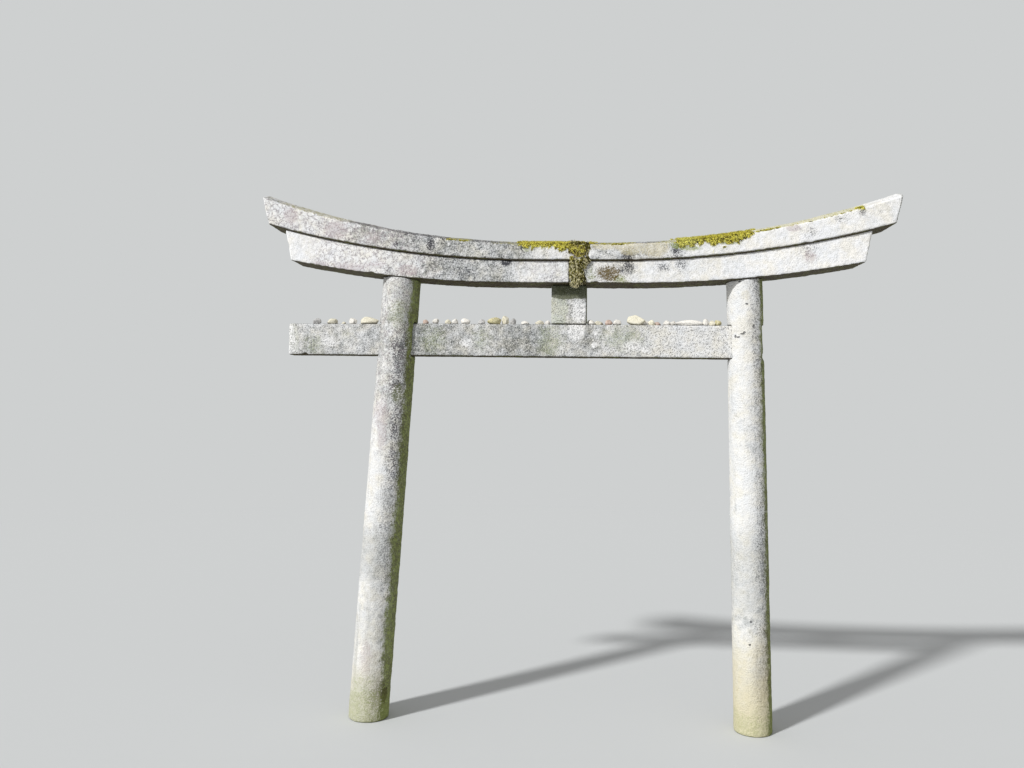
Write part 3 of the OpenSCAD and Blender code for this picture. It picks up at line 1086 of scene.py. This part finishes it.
def planting(name, shoot, density, droop, longest, tousle, seed):
    """A node group that plants shoots all over a mat: up on top, and hanging on its sides.
    The longest are longest times the shoot, and their shade tells how long they are."""
    group = bpy.data.node_groups.new(name, "GeometryNodeTree")
    for side in ("INPUT", "OUTPUT"):
        group.interface.new_socket("Geometry", in_out=side, socket_type="NodeSocketGeometry")

    def add(kind, settings, inputs, output=0):
        return add_node(group, kind, settings, inputs, output)

    def chance(low, high, number):
        return add("FunctionNodeRandomValue", {"data_type": "FLOAT"},
                   {2: low, 3: high, "Seed": seed + number}, 1)

    mat = add("NodeGroupInput", {}, {})
    points = add("GeometryNodeDistributePointsOnFaces", {},
                 {"Mesh": mat, "Density": density, "Seed": seed})
    facing = points.node.outputs["Normal"]
    height = add("ShaderNodeSeparateXYZ", {}, {"Vector": facing}, "Z")
    hang = add("ShaderNodeMath", {"operation": "MULTIPLY_ADD"}, {0: height, 1: droop, 2: -droop})
    down = add("ShaderNodeCombineXYZ", {}, {"Z": hang})
    wild = add("FunctionNodeRandomValue", {"data_type": "FLOAT_VECTOR"},
               {0: (-tousle, -0.2, -tousle), 1: (tousle, 0.2, tousle), "Seed": seed + 1})
    lean = add("ShaderNodeVectorMath", {"operation": "ADD"}, {0: facing, 1: down})
    lean = add("ShaderNodeVectorMath", {"operation": "ADD"}, {0: lean, 1: wild})
    turn = add("FunctionNodeAlignRotationToVector", {"axis": "Z"}, {"Vector": lean})
    shade = chance(0.0, 1.0, 2)
    wide = chance(*TUFT_WIDTHS, 3)
    long = add("ShaderNodeMath", {"operation": "MULTIPLY_ADD"},
               {0: shade, 1: longest - TUFT_SHORTEST, 2: TUFT_SHORTEST})
    size = add("ShaderNodeCombineXYZ", {}, {"X": wide, "Y": wide, "Z": long})
    tuft = add("GeometryNodeObjectInfo", {}, {"Object": shoot}, "Geometry")
    planted = add("GeometryNodeInstanceOnPoints", {},
                  {"Points": points, "Instance": tuft, "Rotation": turn, "Scale": size})
    shaded = add("GeometryNodeStoreNamedAttribute", {"data_type": "FLOAT", "domain": "INSTANCE"},
                 {"Geometry": planted, "Name": "shade", "Value": shade})
    real = add("GeometryNodeRealizeInstances", {}, {"Geometry": shaded})
    under = add("GeometryNodeStoreNamedAttribute", {"data_type": "FLOAT", "domain": "POINT"},
                {"Geometry": mat, "Name": "shade", "Value": DEEP})
    both = add("GeometryNodeJoinGeometry", {}, {0: real})
    group.links.new(under, both.node.inputs[0])
    out = group.nodes.new("NodeGroupOutput")
    group.links.new(both, out.inputs[0])
    return group


def plant(skin, settings, size, density, droop, longest, tousle, seed):
    """Covers a cushion of moss with shoots. size and density are shares of the settings."""
    shoot = moss_shoot(settings.shoot * size)
    group = planting(skin.name, shoot, settings.density * density, droop, longest, tousle, seed)
    finish_modifier(skin, "NODES", node_group=group)
    bpy.data.objects.remove(shoot)


# How far the earth stands back from the faces of the joints, and how high the joints are: the
# lower one up to the upper lintel, and the upper one to just over the edge of the roof
JOINT_RECESS = 0.008
UPPER_JOINT_HEIGHT = 0.088
JOINT_HEIGHT = {
    "lower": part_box("upper_lintel_left")[0].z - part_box("lower_lintel_left")[0].z,
    "upper": UPPER_JOINT_HEIGHT,
}

# The pebbles on the nose and on the tie beam, from left to right: middle, length, height, colour
NOSE_PEBBLES = (
    (-0.288, 0.040, 0.028, "grey"), (-0.212, 0.050, 0.026, "cream"),
    (-0.157, 0.022, 0.012, "cream"), (-0.109, 0.040, 0.030, "white"),
    (-0.030, 0.090, 0.038, "cream"))
LEFT_PEBBLES = (
    (0.248, 0.030, 0.020, "red"), (0.294, 0.032, 0.027, "white"), (0.358, 0.032, 0.022, "cream"),
    (0.390, 0.032, 0.026, "white"), (0.440, 0.046, 0.030, "white"), (0.519, 0.036, 0.024, "grey"),
    (0.580, 0.068, 0.034, "ochre"), (0.634, 0.036, 0.042, "cream"), (0.670, 0.030, 0.030, "grey"),
    (0.730, 0.040, 0.018, "white"), (0.798, 0.044, 0.020, "cream"), (0.838, 0.028, 0.020, "white"))
RIGHT_PEBBLES = (
    (1.045, 0.040, 0.024, "white"), (1.084, 0.042, 0.020, "cream"), (1.129, 0.038, 0.025, "red"),
    (1.169, 0.040, 0.028, "white"), (1.260, 0.090, 0.047, "cream"), (1.301, 0.030, 0.022, "white"),
    (1.332, 0.036, 0.026, "cream"), (1.362, 0.030, 0.018, "red"), (1.402, 0.032, 0.025, "white"),
    (1.431, 0.026, 0.022, "white"), (1.507, 0.140, 0.026, "white"), (1.587, 0.030, 0.032, "white"),
    (1.617, 0.028, 0.025, "cream"), (1.645, 0.034, 0.028, "ochre"))

# How deep a pebble is set in the worn top of the beam, how far its middle may lie in front of
# the beam's middle, the share of the beam's depth that it may take up, how far it may be
# tipped, and how bright it is
PEBBLE_SINK = 0.004
PEBBLE_FORWARD = 0.018
PEBBLE_DEPTH = 0.8
PEBBLE_TIP = (0.3, 0.25)
PEBBLE_BRIGHTNESS = (0.85, 1.05)

# How many different pebbles there are, and how many flats each has
PEBBLE_MODELS = 5
PEBBLE_FLATS = 8


def pebble_models(draw):
    """A few worn pebbles about a metre long, to be copied at their real size."""
    models = []
    for number in range(PEBBLE_MODELS):
        bpy.ops.mesh.primitive_ico_sphere_add(subdivisions=2, radius=0.5)
        model = bpy.context.active_object
        with editing():
            bpy.ops.transform.vertex_random(offset=0.14, seed=draw.randrange(1000))
            for cut in range(PEBBLE_FLATS):
                turn = draw.uniform(0, 2 * math.pi)
                rise = draw.uniform(-0.3, 1.2)
                outwards = Vector((math.cos(turn), math.sin(turn), rise)).normalized()
                bpy.ops.mesh.select_all(action="SELECT")
                bpy.ops.mesh.bisect(plane_co=outwards * draw.uniform(0.3, 0.42),
                                    plane_no=outwards, use_fill=True, clear_outer=True)
        finish_modifier(model, "REMESH", mode="VOXEL", voxel_size=0.06)
        finish_modifier(model, "SMOOTH", factor=0.5, iterations=1)
        models.append(model)
    return models


def lay_pebbles(name, places, level, models, settings, draw):
    """Copies of the models in a row along the beam, joined into one piece."""
    row = []
    for x, length, height, colour in places:
        pebble = copy_of(draw.choice(models), name)
        tips = [draw.uniform(-most, most) for most in PEBBLE_TIP]
        pebble.rotation_euler = (*tips, draw.uniform(0, 2 * math.pi))
        apply_place(pebble)
        low = [min(point.co[axis] for point in pebble.data.vertices) for axis in range(3)]
        high = [max(point.co[axis] for point in pebble.data.vertices) for axis in range(3)]
        deep = min(length * draw.uniform(0.6, 0.95), -2 * TIE_FRONT * PEBBLE_DEPTH)
        wanted = [side * settings.size for side in (length, deep, height + PEBBLE_SINK)]
        scale = [want / (top - base) for want, base, top in zip(wanted, low, high)]
        pebble.scale = scale
        pebble.location = (
            x - (low[0] + high[0]) / 2 * scale[0],
            draw.uniform(-PEBBLE_FORWARD, 0.0) - (low[1] + high[1]) / 2 * scale[1],
            level - PEBBLE_SINK - low[2] * scale[2])
        apply_place(pebble)
        colours = pebble.data.attributes.new("pebble_colour", "FLOAT_COLOR", "POINT")
        brightness = draw.uniform(*PEBBLE_BRIGHTNESS)
        own = [part * brightness for part in getattr(settings, colour)]
        colours.data.foreach_set("color", [*own, 1] * len(pebble.data.vertices))
        row.append(pebble)
    piece = join(row, name)
    bpy.ops.object.shade_smooth()
    return piece


# Operators, one for each group of pieces


def dress_stone(context, node, paint):
    """Dresses one stone, and gives it its paint and its place on the gate."""
    scene = context.scene
    keep(dress(node, scene.torii_stone), paint(node, scene.torii_colours))


class TORII_OT_columns(bpy.types.Operator):
    """Dresses the two round columns"""

    bl_idname = "torii.columns"
    bl_label = "Columns"

    def execute(self, context):
        dress_stone(context, "left_column", left_column_paint)
        dress_stone(context, "right_column", right_column_paint)
        return {"FINISHED"}


class TORII_OT_tie_beam(bpy.types.Operator):
    """Dresses the tie beam, its nose and the strut"""

    bl_idname = "torii.tie_beam"
    bl_label = "Tie beam, nose and strut"

    def execute(self, context):
        for node in BEAM_MARKS:
            dress_stone(context, node, beam_paint)
        return {"FINISHED"}


class TORII_OT_lower_lintel(bpy.types.Operator):
    """Dresses the two stones of the lower lintel"""

    bl_idname = "torii.lower_lintel"
    bl_label = "Lower lintel"

    def execute(self, context):
        for side in ("left", "right"):
            dress_stone(context, "lower_lintel_" + side, lintel_paint)
        return {"FINISHED"}


class TORII_OT_upper_lintel(bpy.types.Operator):
    """Dresses the two stones of the upper lintel"""

    bl_idname = "torii.upper_lintel"
    bl_label = "Upper lintel"

    def execute(self, context):
        for side in ("left", "right"):
            dress_stone(context, "upper_lintel_" + side, lintel_paint)
        return {"FINISHED"}


class TORII_OT_joint_dirt(bpy.types.Operator):
    """Fills the two upright joints of the lintels with dark earth"""

    bl_idname = "torii.joint_dirt"
    bl_label = "Earth in the joints"

    def execute(self, context):
        fillings = []
        for level, joint_height in JOINT_HEIGHT.items():
            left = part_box(level + "_lintel_left")
            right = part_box(level + "_lintel_right")
            low = max(left[0].z, right[0].z) + JOINT_RECESS
            high = left[0].z + joint_height - JOINT_RECESS
            front = left[0].y + JOINT_RECESS
            bpy.ops.mesh.primitive_cube_add(
                size=1, location=((left[1].x + right[0].x) / 2, 0, (low + high) / 2),
                scale=(right[0].x - left[1].x + 2 * WELD, -2 * front, high - low))
            fillings.append(bpy.context.active_object)
            apply_place(fillings[-1])
        dirt = join(fillings, "earth_in_joints")
        keep(dirt, earth_paint(context.scene.torii_colours))
        return {"FINISHED"}


class TORII_OT_moss(bpy.types.Operator):
    """Grows moss on the upper lintel and in its joint"""

    bl_idname = "torii.moss"
    bl_label = "Moss"

    def execute(self, context):
        settings = context.scene.torii_moss
        material = moss_paint(settings)
        for number, side in enumerate(("left", "right")):
            stone = bpy.data.objects["upper_lintel_" + side + "_stone"]
            mat = moss_skin(stone, "moss_mat_" + side, MOSS_MATS[side], settings.thickness)
            plant(mat, settings, size=1.0, density=1.0, droop=6.0, longest=1.1, tousle=0.8,
                  seed=41 + number)
            rim = moss_skin(stone, "moss_rim_" + side, MOSS_RIMS[side], settings.thickness * 0.5)
            plant(rim, settings, size=0.5, density=1.0, droop=1.0, longest=1.0, tousle=0.6,
                  seed=51 + number)
            for moss in (mat, rim):
                keep(moss, material)
        clump = moss_clump("moss_over_joint")
        plant(clump, settings, size=0.8, density=0.9, droop=7.0, longest=2.2, tousle=3.0, seed=47)
        keep(clump, hanging_moss_paint(settings))
        return {"FINISHED"}


class TORII_OT_pebbles(bpy.types.Operator):
    """Lays the pebbles on the tie beam and its nose"""

    bl_idname = "torii.pebbles"
    bl_label = "Pebbles"

    def execute(self, context):
        settings = context.scene.torii_pebbles
        material = pebble_paint()
        draw = random.Random(7)
        models = pebble_models(draw)
        nose_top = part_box("tie_beam_nose")[1].z
        for name, places, level in (("pebbles_on_nose", NOSE_PEBBLES, nose_top),
                                    ("pebbles_left_of_strut", LEFT_PEBBLES, TIE_TOP),
                                    ("pebbles_right_of_strut", RIGHT_PEBBLES, TIE_TOP)):
            piece = lay_pebbles(name, places, level, models, settings, draw)
            keep(piece, material)
        for model in models:
            bpy.data.objects.remove(model)
        return {"FINISHED"}


# Where the camera stands, how it is turned, and its focal length in pixels of the picture
CAMERA_PLACE = (0.951, -4.13, 1.48)
CAMERA_YAW = math.radians(3.9)
CAMERA_PITCH = math.radians(90) + math.radians(1.75)
CAMERA_ROLL = math.radians(0.8)
CAMERA_FOCAL = 860
PICTURE_WIDTH = 1024
SENSOR = 36

# The key light: to the left of the gate's front, and up. Its angle makes the shadows soft
KEY_TURN = math.radians(-45)
KEY_RISE = math.radians(39)
KEY_ANGLE = math.radians(5)
KEY_DISTANCE = 6

FLOOR_RADIUS = 14.0
FLOOR_FADE = (4.5, 12.0)


def add_camera():
    """The camera at eye height, a little right of the gate's middle."""
    turn = Matrix.Rotation(CAMERA_YAW, 3, "Z")
    for angle, axis in ((CAMERA_PITCH, "X"), (CAMERA_ROLL, "Z")):
        turn = turn @ Matrix.Rotation(angle, 3, axis)
    bpy.ops.object.camera_add(location=CAMERA_PLACE, rotation=turn.to_euler())
    camera = bpy.context.active_object
    camera.data.sensor_width = SENSOR
    camera.data.lens = CAMERA_FOCAL / PICTURE_WIDTH * SENSOR
    bpy.context.scene.camera = camera


def add_key(level):
    """A wide distant lamp. A white face turned to it looks level bright."""
    towards = Vector((math.sin(KEY_TURN) * math.cos(KEY_RISE),
                      -math.cos(KEY_TURN) * math.cos(KEY_RISE), math.sin(KEY_RISE)))
    bpy.ops.object.light_add(type="SUN", location=towards * KEY_DISTANCE,
                             rotation=towards.to_track_quat("Z", "Y").to_euler())
    lamp = bpy.context.active_object.data
    lamp.angle = KEY_ANGLE
    lamp.energy = level * math.pi


def add_floor(colour):
    """A round floor that fades into the background."""
    bpy.ops.mesh.primitive_circle_add(vertices=96, radius=FLOOR_RADIUS, fill_type="NGON",
                                      location=(MID, 0, 0))
    floor = bpy.context.active_object
    floor.name = "floor"
    with editing():
        bpy.ops.mesh.inset(thickness=FLOOR_RADIUS / 3)
    apply_place(floor)
    paint = Paint("floor", colour)
    paint.shader.inputs["Base Color"].default_value = (*colour, 1)
    paint.shader.inputs["Roughness"].default_value = 1
    paint.shader.inputs["Specular IOR Level"].default_value = 0
    away = paint.distance((-MID, 0, 0))
    clear = paint.add("ShaderNodeBsdfTransparent", {}, {})
    shader = Value(paint, paint.shader.outputs[0])
    faded = paint.add("ShaderNodeMixShader", {}, {0: away.ramp(*FLOOR_FADE), 1: shader, 2: clear})
    paint.tree.links.new(faded.socket, paint.tree.nodes["Material Output"].inputs["Surface"])
    floor.data.materials.append(paint.material)


def set_world(background, fill):
    """Even light from all round, and a background that the camera and reflections see."""
    world = bpy.data.worlds.new("studio")
    world.use_nodes = True
    tree = world.node_tree
    light = tree.nodes["Background"]
    light.inputs["Color"].default_value = (1, 1, 1, 1)
    light.inputs["Strength"].default_value = fill
    seen = add_node(tree, "ShaderNodeBackground", {}, {"Color": (*background, 1), "Strength": 1})
    rays = add_node(tree, "ShaderNodeLightPath", {}, {}).node.outputs
    seen_by = rays["Is Camera Ray"]
    for kind in ("Is Glossy Ray", "Is Transmission Ray"):
        seen_by = add_node(tree, "ShaderNodeMath", {"operation": "MAXIMUM"},
                           {0: seen_by, 1: rays[kind]})
    choice = add_node(tree, "ShaderNodeMixShader", {}, {0: seen_by, 1: light.outputs[0], 2: seen})
    tree.links.new(choice, tree.nodes["World Output"].inputs["Surface"])
    bpy.context.scene.world = world


class TORII_OT_stage(bpy.types.Operator):
    """Adds the floor, the light and the camera"""

    bl_idname = "torii.stage"
    bl_label = "Stage"

    def execute(self, context):
        stage = context.scene.torii_stage
        add_floor(stage.floor)
        set_world(stage.background, stage.fill)
        add_key(stage.key)
        add_camera()
        context.scene.view_settings.view_transform = "Standard"
        return {"FINISHED"}


class TORII_PT_panel(bpy.types.Panel):
    """Lists the steps in their order, with their settings"""

    bl_label = "Stone Torii"
    bl_idname = "TORII_PT_panel"
    bl_space_type = "VIEW_3D"
    bl_region_type = "UI"
    bl_category = "Torii"

    def draw(self, context):
        scene = context.scene
        for title, settings in (("Stone", scene.torii_stone), ("Colours", scene.torii_colours),
                                ("Moss", scene.torii_moss), ("Pebbles", scene.torii_pebbles),
                                ("Stage", scene.torii_stage)):
            box = self.layout.box()
            box.label(text=title)
            for name in settings.bl_rna.properties.keys():
                if name not in ("rna_type", "name"):
                    box.prop(settings, name)
        for operator in OPERATORS:
            self.layout.operator(operator.bl_idname)


SETTINGS = {
    "torii_stone": StoneShape,
    "torii_colours": StoneColours,
    "torii_moss": MossSettings,
    "torii_pebbles": PebbleSettings,
    "torii_stage": StageSettings,
}
OPERATORS = (
    TORII_OT_columns,
    TORII_OT_tie_beam,
    TORII_OT_lower_lintel,
    TORII_OT_upper_lintel,
    TORII_OT_joint_dirt,
    TORII_OT_moss,
    TORII_OT_pebbles,
    TORII_OT_stage,
)


def register():
    for name, group in SETTINGS.items():
        bpy.utils.register_class(group)
        setattr(bpy.types.Scene, name, bpy.props.PointerProperty(type=group))
    for item in (*OPERATORS, TORII_PT_panel):
        bpy.utils.register_class(item)


def unregister():
    for item in reversed((*OPERATORS, TORII_PT_panel)):
        bpy.utils.unregister_class(item)
    for name, group in reversed(SETTINGS.items()):
        delattr(bpy.types.Scene, name)
        bpy.utils.unregister_class(group)


def main():
    """Builds everything in order."""
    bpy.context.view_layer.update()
    register()
    bpy.ops.torii.columns()
    bpy.ops.torii.tie_beam()
    bpy.ops.torii.lower_lintel()
    bpy.ops.torii.upper_lintel()
    bpy.ops.torii.joint_dirt()
    bpy.ops.torii.moss()
    bpy.ops.torii.pebbles()
    bpy.ops.torii.stage()


if __name__ == "__main__":
    main()
